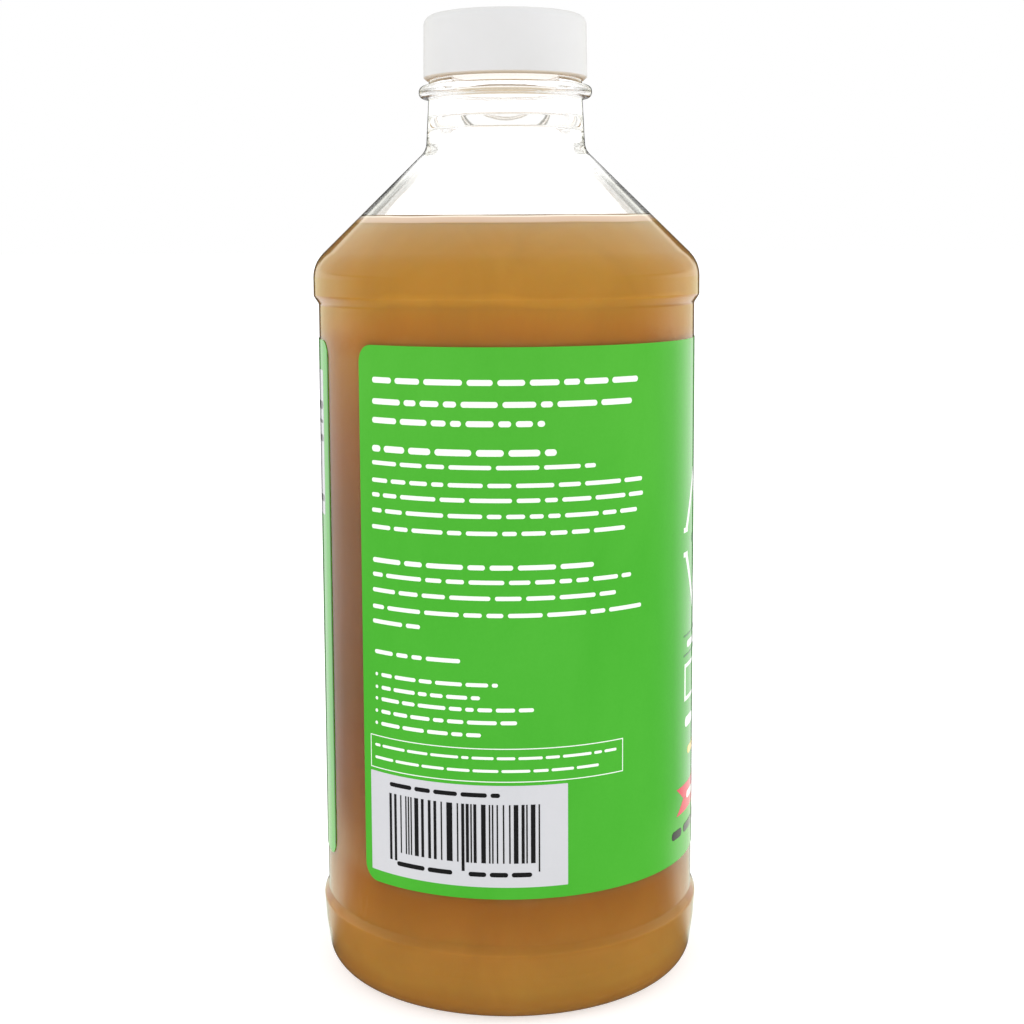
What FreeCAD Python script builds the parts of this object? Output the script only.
import FreeCAD, Part
import Sketcher
import math
import os

# A clear plastic bottle of amber vinegar, 16 fl oz, with a screw cap and a
# wrap label. Millimetres, +Z up. The origin is on the bottle's axis at the
# plane it stands on. The side that faces -Y shows the gap between the label's
# two ends at its left.
#
#   bottle   blown hollow shell: foot, lower bumper, straight label panel,
#            upper bumper, cone, thick neck, neck ring and finish
#   vinegar  the drink, from the inside of the foot up to its level in the cone
#   cap      smooth screw cap that sits on the top of the finish
#   label    thin wrap with rounded corners and a gap between its ends

doc = FreeCAD.newDocument("vinegar_bottle")
sheet = doc.addObject("Spreadsheet::Sheet", "sizes")


class Size:
    """A length kept twice: as an expression on the sheet and as a number."""

    def __init__(self, text, value):
        self.text, self.value = text, float(value)

    def __add__(self, other):
        other = number(other)
        return Size("(%s + %s)" % (self.text, other.text), self.value + other.value)

    def __sub__(self, other):
        other = number(other)
        return Size("(%s - %s)" % (self.text, other.text), self.value - other.value)

    def __mul__(self, other):
        other = number(other)
        return Size("(%s * %s)" % (self.text, other.text), self.value * other.value)

    def __truediv__(self, other):
        other = number(other)
        return Size("(%s / %s)" % (self.text, other.text), self.value / other.value)


def number(x):
    return x if isinstance(x, Size) else Size(repr(float(x)), x)


NAMED = {}


def size(alias, value, note):
    row = len(NAMED) + 1
    sheet.set("A%d" % row, note)
    sheet.set("B%d" % row, repr(value))
    sheet.setAlias("B%d" % row, alias)
    NAMED[alias] = Size("sizes." + alias, value)
    return NAMED[alias]


# ---- driving dimensions ---------------------------------------------------
# heights above the plane the bottle stands on
foot_rise = size("foot_rise", 2.6, "rise of the foot's hollow at the axis")
foot_step = size("foot_step", 1.9, "rise of the foot's hollow at its rim")
flank_height = size("flank_height", 8.0, "height of the lower bumper's flank")
low_bumper_top = size("low_bumper_top", 12.4, "top of the lower bumper")
panel_bottom = size("panel_bottom", 13.9, "bottom of the label panel")
panel_top = size("panel_top", 121.7, "top of the label panel")
bumper_bottom = size("bumper_bottom", 123.1, "bottom of the upper bumper")
cone_bottom = size("cone_bottom", 128.9, "sharp corner of upper bumper and cone")
cone_top = size("cone_top", 148.9, "sharp corner of cone and neck")
ring_bottom = size("ring_bottom", 158.05, "underside of the neck ring")
ring_thick = size("ring_thick", 2.1, "thickness of the neck ring")
collar_top = size("collar_top", 161.9, "top of the collar above the ring")
finish_top = size("finish_top", 171.0, "top of the finish")
fill_level = size("fill_level", 136.5, "level of the vinegar")

# outer radii
foot_hollow_radius = size("foot_hollow_radius", 20.0, "foot's hollow, inner rim")
foot_ring_radius = size("foot_ring_radius", 25.5, "inside of the ring it stands on")
foot_corner_radius = size("foot_corner_radius", 33.35, "sharp corner of the foot")
flank_radius = size("flank_radius", 34.45, "lower bumper at its flank")
low_bumper_radius = size("low_bumper_radius", 34.75, "lower bumper at its top")
panel_radius = size("panel_radius", 33.9, "label panel")
bumper_radius = size("bumper_radius", 34.8, "upper bumper")
cone_top_radius = size("cone_top_radius", 14.3, "top of the cone")
neck_radius = size("neck_radius", 13.8, "neck under its ring")
ring_radius = size("ring_radius", 15.5, "neck ring")
collar_radius = size("collar_radius", 13.7, "collar above the ring")
finish_radius = size("finish_radius", 12.7, "finish under the cap")

# wall
wall = size("wall", 0.6, "side wall")
foot_wall = size("foot_wall", 1.2, "wall of the foot")
cone_wall = size("cone_wall", 1.3, "wall of the cone, across it")
bore_radius = size("bore_radius", 9.7, "bore of the finish and neck")
bore_bottom = size("bore_bottom", 154.7, "where the thick neck starts to open")
throat_radius = size("throat_radius", 12.2, "inside of the thin neck, top")
throat_top = size("throat_top", 152.3, "where the thick neck has opened")
throat_low_radius = size("throat_low_radius", 12.7, "inside of the thin neck, foot")

# rounded edges
round_heel = size("round_heel", 4.2, "outer edge of the foot")
round_lip = size("round_lip", 0.9, "edges of the two bumpers")
round_root = size("round_root", 0.8, "roots of the two bumpers")
round_shoulder = size("round_shoulder", 6.0, "upper bumper into the cone")
round_neck = size("round_neck", 3.2, "cone into the neck")
round_ring = size("round_ring", 0.9, "edges of the neck ring")
round_foot = size("round_foot", 2.0, "edges of the foot's hollow")

# cap
cap_bottom = size("cap_bottom", 161.2, "lower edge of the cap")
cap_top = size("cap_top", 172.5, "top of the cap")
cap_radius = size("cap_radius", 14.65, "cap at its lower edge")
cap_lip_radius = size("cap_lip_radius", 14.05, "foot of the bevel on the lower edge of the cap")
cap_lip_height = size("cap_lip_height", 0.5, "height of that bevel")
cap_top_radius = size("cap_top_radius", 14.5, "cap at its top")
cap_bore_radius = size("cap_bore_radius", 13.85, "inside of the cap")
round_cap = size("round_cap", 1.7, "top edge of the cap")

# label
label_bottom = size("label_bottom", 22.25, "lower edge of the label")
label_top = size("label_top", 115.55, "upper edge of the label")
label_thick = size("label_thick", 0.12, "thickness of the label")
label_start = size("label_start", 222.5, "bearing of the label's near end, degrees")
label_sweep = size("label_sweep", 340.2, "angle that the label covers, degrees")
round_label = size("round_label", 3.0, "corners of the label")

doc.recompute()
ZERO = None          # a coordinate that lies on the axis, or on the ground plane


# ---- helpers --------------------------------------------------------------
def origin_plane(body, role):
    for feature in body.Origin.OriginFeatures:
        if feature.Role == role:
            return feature
    raise RuntimeError("no plane " + role)


def section(body, name, points):
    """Closed section in the XZ plane. Each corner is (radius, height), bound
    to the sheet; a coordinate of None lies on that axis."""
    sketch = body.newObject("Sketcher::SketchObject", name)
    sketch.AttachmentSupport = [(origin_plane(body, "XZ_Plane"), "")]
    sketch.MapMode = "FlatFace"
    at = [FreeCAD.Vector(r.value if r else 0, z.value if z else 0, 0) for r, z in points]
    count = len(points)
    for i in range(count):
        sketch.addGeometry(Part.LineSegment(at[i], at[(i + 1) % count]), False)
    for i in range(count):
        sketch.addConstraint(Sketcher.Constraint("Coincident", i, 2, (i + 1) % count, 1))
    for i, (r, z) in enumerate(points):
        for kind, length, axis in (("DistanceX", r, -2), ("DistanceY", z, -1)):
            if length is None:
                sketch.addConstraint(Sketcher.Constraint("PointOnObject", i, 1, axis))
            else:
                c = sketch.addConstraint(Sketcher.Constraint(kind, -1, 1, i, 1, length.value))
                sketch.setExpression("Constraints[%d]" % c, length.text)
    doc.recompute()
    return sketch


def turn(body, kind, name, sketch, angle=None):
    """Revolution or Groove of a section about the bottle's axis."""
    feature = body.newObject("PartDesign::" + kind, name)
    feature.Profile = sketch
    feature.ReferenceAxis = (sketch, ["V_Axis"])
    if angle is None:
        feature.Angle = 360
    else:
        feature.Angle = angle.value
        feature.setExpression("Angle", angle.text)
    body.Tip = feature
    doc.recompute()
    return feature


def ring_edges(shape, corners):
    """Names of the round edges that lie at the given corners."""
    names = []
    for r, z in corners:
        radius, height = r.value, z.value if z else 0.0
        found = None
        for k, edge in enumerate(shape.Edges, 1):
            curve = edge.Curve
            if hasattr(curve, "Radius") and hasattr(curve, "Center"):
                if abs(curve.Radius - radius) < 0.02 and abs(curve.Center.z - height) < 0.02:
                    found = "Edge%d" % k
        if found is None:
            raise RuntimeError("no edge at radius %.2f height %.2f" % (radius, height))
        names.append(found)
    return names


def soften(body, name, corners, radius):
    """Fillet of the round edges at the given corners."""
    tip = body.Tip
    edges = ring_edges(tip.Shape, corners)
    feature = body.newObject("PartDesign::Fillet", name)
    feature.Base = (tip, edges)
    feature.Radius = radius.value
    feature.setExpression("Radius", radius.text)
    body.Tip = feature
    doc.recompute()
    return feature


def new_body(label):
    body = doc.addObject("PartDesign::Body", label + "_body")
    body.Label = label
    body.Placement = FreeCAD.Placement()
    return body


# ---- corners of the outer form -------------------------------------------
O_HOLLOW = (foot_hollow_radius, foot_step)
O_FOOT_IN = (foot_ring_radius, ZERO)
O_FOOT = (foot_corner_radius, ZERO)
O_FLANK = (flank_radius, flank_height)
O_LIP = (low_bumper_radius, low_bumper_top)
O_PANEL_LOW = (panel_radius, panel_bottom)
O_PANEL_HIGH = (panel_radius, panel_top)
O_BUMPER = (bumper_radius, bumper_bottom)
O_SHOULDER = (bumper_radius, cone_bottom)
O_CONE = (cone_top_radius, cone_top)
O_NECK = (neck_radius, ring_bottom)
O_RING_LOW = (ring_radius, ring_bottom)
O_RING_HIGH = (ring_radius, ring_bottom + ring_thick)
O_COLLAR_LOW = (collar_radius, ring_bottom + ring_thick)
O_COLLAR_HIGH = (collar_radius, collar_top)
O_FINISH_LOW = (finish_radius, collar_top)
O_FINISH = (finish_radius, finish_top)

OUTER = [
    (ZERO, foot_rise), O_HOLLOW, O_FOOT_IN, O_FOOT, O_FLANK, O_LIP, O_PANEL_LOW,
    O_PANEL_HIGH, O_BUMPER, O_SHOULDER, O_CONE, O_NECK, O_RING_LOW, O_RING_HIGH,
    O_COLLAR_LOW, O_COLLAR_HIGH, O_FINISH_LOW, O_FINISH, (ZERO, finish_top),
]

# ---- corners of the inner form -------------------------------------------
# The cone's inner line is its outer line moved inward, level, by cone_shift.
# run and rise are the cone's outer line; slant is its length.
run = bumper_radius - cone_top_radius
rise = cone_top - cone_bottom
slant = Size("sqrt(%s * %s + %s * %s)" % (run.text, run.text, rise.text, rise.text),
             math.hypot(run.value, rise.value))
cone_shift = cone_wall * slant / rise


def cone_inner_height(radius):
    """Height at which the cone's inner line has the given radius."""
    return cone_bottom + (bumper_radius - cone_shift - radius) * rise / run


I_HOLLOW = (foot_hollow_radius - 0.6, foot_step + foot_wall)
I_FOOT_IN = (foot_ring_radius - 0.5, foot_wall)
I_FOOT = (foot_corner_radius - wall - 0.3, foot_wall)
I_FLANK = (flank_radius - wall, flank_height)
I_LIP = (low_bumper_radius - wall, low_bumper_top - 0.15)
I_PANEL_LOW = (panel_radius - wall, panel_bottom - 0.15)
I_PANEL_HIGH = (panel_radius - wall, panel_top + 0.15)
I_BUMPER = (bumper_radius - wall, bumper_bottom + 0.15)
I_SHOULDER = (bumper_radius - wall, cone_inner_height(bumper_radius - wall))
I_CONE = (throat_low_radius, cone_inner_height(throat_low_radius))
I_THROAT = (throat_radius, throat_top)
I_BORE = (bore_radius, bore_bottom)
I_MOUTH = (bore_radius, finish_top)

INNER = [
    (ZERO, foot_rise + foot_wall), I_HOLLOW, I_FOOT_IN, I_FOOT, I_FLANK, I_LIP,
    I_PANEL_LOW, I_PANEL_HIGH, I_BUMPER, I_SHOULDER, I_CONE, I_THROAT, I_BORE,
    I_MOUTH, (ZERO, finish_top),
]


def soften_inner(body, prefix, whole):
    """The same rounded edges for the inside of the wall and for the drink."""
    soften(body, prefix + "_round_hollow", [I_HOLLOW, I_FOOT_IN], round_foot)
    soften(body, prefix + "_round_heel", [I_FOOT], round_heel - wall)
    soften(body, prefix + "_round_lip", [I_LIP, I_BUMPER], round_lip - wall * 0.5)
    soften(body, prefix + "_round_root", [I_PANEL_LOW, I_PANEL_HIGH], round_root + wall * 0.5)
    soften(body, prefix + "_round_shoulder", [I_SHOULDER], round_shoulder - wall)
    if whole:
        soften(body, prefix + "_round_cone", [I_CONE], round_neck + cone_wall)
        soften(body, prefix + "_round_throat", [I_THROAT, I_BORE], round_lip)


# ---- bottle ---------------------------------------------------------------
bottle = new_body("bottle")
turn(bottle, "Revolution", "bottle_form", section(bottle, "bottle_outline", OUTER))
soften(bottle, "bottle_round_hollow", [O_HOLLOW, O_FOOT_IN], round_foot)
soften(bottle, "bottle_round_heel", [O_FOOT], round_heel)
soften(bottle, "bottle_round_lip", [O_LIP, O_BUMPER], round_lip)
soften(bottle, "bottle_round_root", [O_PANEL_LOW, O_PANEL_HIGH], round_root)
soften(bottle, "bottle_round_shoulder", [O_SHOULDER], round_shoulder)
soften(bottle, "bottle_round_neck", [O_CONE], round_neck)
soften(bottle, "bottle_round_ring", [O_RING_LOW, O_RING_HIGH], round_ring)
soften(bottle, "bottle_round_collar", [O_NECK, O_COLLAR_HIGH], round_root * 0.5)
solid_volume = bottle.Shape.Volume
turn(bottle, "Groove", "bottle_cavity", section(bottle, "bottle_inside", INNER))
if not bottle.Shape.Volume < 0.2 * solid_volume:
    raise RuntimeError("the cavity wasn't cut")
soften_inner(bottle, "inside", True)
soften(bottle, "bottle_round_mouth", [O_FINISH, I_MOUTH], round_root * 0.5)

# ---- vinegar --------------------------------------------------------------
# The inner form up to the level. The level's radius lies on the cone's inner
# line.
level_radius = bumper_radius - cone_shift - (fill_level - cone_bottom) * run / rise
vinegar = new_body("vinegar")
turn(vinegar, "Revolution", "vinegar_form", section(
    vinegar, "vinegar_outline",
    INNER[:10] + [(level_radius, fill_level), (ZERO, fill_level)]))
soften_inner(vinegar, "vinegar", False)

# ---- cap ------------------------------------------------------------------
cap = new_body("cap")
turn(cap, "Revolution", "cap_form", section(cap, "cap_outline", [
    (ZERO, finish_top), (cap_bore_radius, finish_top), (cap_bore_radius, cap_bottom),
    (cap_lip_radius, cap_bottom), (cap_radius, cap_bottom + cap_lip_height),
    (cap_top_radius, cap_top), (ZERO, cap_top)]))
soften(cap, "cap_round_top", [(cap_top_radius, cap_top)], round_cap)
soften(cap, "cap_round_foot", [(cap_radius, cap_bottom + cap_lip_height)], round_root * 0.25)

# ---- label ----------------------------------------------------------------
label = new_body("label")
turn(label, "Revolution", "label_form", section(label, "label_outline", [
    (panel_radius, label_bottom), (panel_radius + label_thick, label_bottom),
    (panel_radius + label_thick, label_top), (panel_radius, label_top)]), label_sweep)


def corner_cutters(body, name, side, bearing):
    """Pocket that rounds the two corners of one end of the label. The section
    is upright, across the end's bearing: side is +1 where the label runs on
    from the end in the direction of increasing bearing, else -1."""
    over = 1.0
    sketch = body.newObject("Sketcher::SketchObject", name + "_outline")
    sketch.AttachmentSupport = [(origin_plane(body, "YZ_Plane"), "")]
    sketch.MapMode = "FlatFace"
    if bearing is not None:
        sketch.AttachmentOffset = FreeCAD.Placement(
            FreeCAD.Vector(0, 0, 0), FreeCAD.Rotation(FreeCAD.Vector(0, 1, 0), bearing.value))
        sketch.setExpression("AttachmentOffset.Rotation.Angle", bearing.text + " * 1 deg")
    for edge, up in ((label_top, 1), (label_bottom, -1)):
        outside, inside = edge + over * up, edge - round_label * up
        # corners: outside the label, above its edge, at the two ends of the arc
        corners = [(-over, outside), (round_label, outside), (round_label, edge),
                   (0.0, inside), (-over, inside)]
        flat = []
        for across, height in corners:
            across = across.value if isinstance(across, Size) else across
            flat.append(FreeCAD.Vector(side * across, height.value, 0))
        centre = FreeCAD.Vector(side * round_label.value, inside.value, 0)
        first = sketch.GeometryCount
        start, end = math.atan2(up, 0), math.atan2(0, -side)
        if side * up > 0:
            arc = Part.ArcOfCircle(
                Part.Circle(centre, FreeCAD.Vector(0, 0, 1), round_label.value),
                start if up > 0 else start, start + math.pi / 2)
            arc_from, arc_to = 1, 2
        else:
            arc = Part.ArcOfCircle(
                Part.Circle(centre, FreeCAD.Vector(0, 0, 1), round_label.value),
                start - math.pi / 2, start)
            arc_from, arc_to = 2, 1
        sketch.addGeometry(Part.LineSegment(flat[0], flat[1]), False)
        sketch.addGeometry(Part.LineSegment(flat[1], flat[2]), False)
        sketch.addGeometry(arc, False)
        sketch.addGeometry(Part.LineSegment(flat[3], flat[4]), False)
        sketch.addGeometry(Part.LineSegment(flat[4], flat[0]), False)
        join = Sketcher.Constraint
        sketch.addConstraint(join("Coincident", first, 2, first + 1, 1))
        sketch.addConstraint(join("Coincident", first + 1, 2, first + 2, arc_from))
        sketch.addConstraint(join("Coincident", first + 2, arc_to, first + 3, 1))
        sketch.addConstraint(join("Coincident", first + 3, 2, first + 4, 1))
        sketch.addConstraint(join("Coincident", first + 4, 2, first, 1))
        sketch.addConstraint(join("Horizontal", first))
        sketch.addConstraint(join("Vertical", first + 1))
        sketch.addConstraint(join("Horizontal", first + 3))
        sketch.addConstraint(join("Vertical", first + 4))
        sketch.addConstraint(join("PointOnObject", first + 3, 1, -2))
        bound = [("Radius", (first + 2,), round_label),
                 ("DistanceY", (-1, 1, first + 1, 2), edge),
                 ("DistanceY", (-1, 1, first, 1), outside),
                 ("DistanceY", (-1, 1, first + 3, 1), inside)]
        if side > 0:
            bound.append(("DistanceX", (-1, 1, first + 1, 2), round_label))
            bound.append(("DistanceX", (first, 1, -1, 1), number(over)))
        else:
            bound.append(("DistanceX", (first + 1, 2, -1, 1), round_label))
            bound.append(("DistanceX", (-1, 1, first, 1), number(over)))
        for kind, where, length in bound:
            c = sketch.addConstraint(Sketcher.Constraint(kind, *where, length.value))
            sketch.setExpression("Constraints[%d]" % c, length.text)
    doc.recompute()
    before = body.Shape.Volume
    pocket = body.newObject("PartDesign::Pocket", name)
    pocket.Profile = sketch
    pocket.Reversed = True
    pocket.Length = (panel_radius + 5).value
    pocket.setExpression("Length", (panel_radius + 5).text)
    body.Tip = pocket
    doc.recompute()
    cut = before - body.Shape.Volume
    expect = 2 * (1 - math.pi / 4) * round_label.value ** 2 * label_thick.value
    if abs(cut - expect) > 0.05 * expect:
        raise RuntimeError("%s cut %.4f, not %.4f" % (name, cut, expect))


corner_cutters(label, "label_near_corners", 1, None)
corner_cutters(label, "label_far_corners", -1, label_sweep)
label.Placement = FreeCAD.Placement(
    FreeCAD.Vector(0, 0, 0), FreeCAD.Rotation(FreeCAD.Vector(0, 0, 1), label_start.value))
label.setExpression("Placement.Rotation.Angle", label_start.text + " * 1 deg")
doc.recompute()

# ---- checks and export ----------------------------------------------------
PARTS = [bottle, vinegar, cap, label]
for obj in doc.Objects:
    if "Invalid" in obj.State or "Error" in obj.State:
        raise RuntimeError("%s is %s" % (obj.Name, obj.State))
for part in PARTS:
    shape = part.Shape
    if shape.isNull() or not shape.isValid() or len(shape.Solids) != 1:
        raise RuntimeError("%s has no single valid solid" % part.Label)

os.makedirs("parts", exist_ok=True)
for part in PARTS:
    shape = part.Shape
    shape.exportStep("parts/%s.step" % part.Label)
    box = shape.BoundBox
    print("%-8s volume %10.1f mm3  x %.2f..%.2f  y %.2f..%.2f  z %.2f..%.2f" % (
        part.Label, shape.Volume, box.XMin, box.XMax, box.YMin, box.YMax, box.ZMin, box.ZMax))
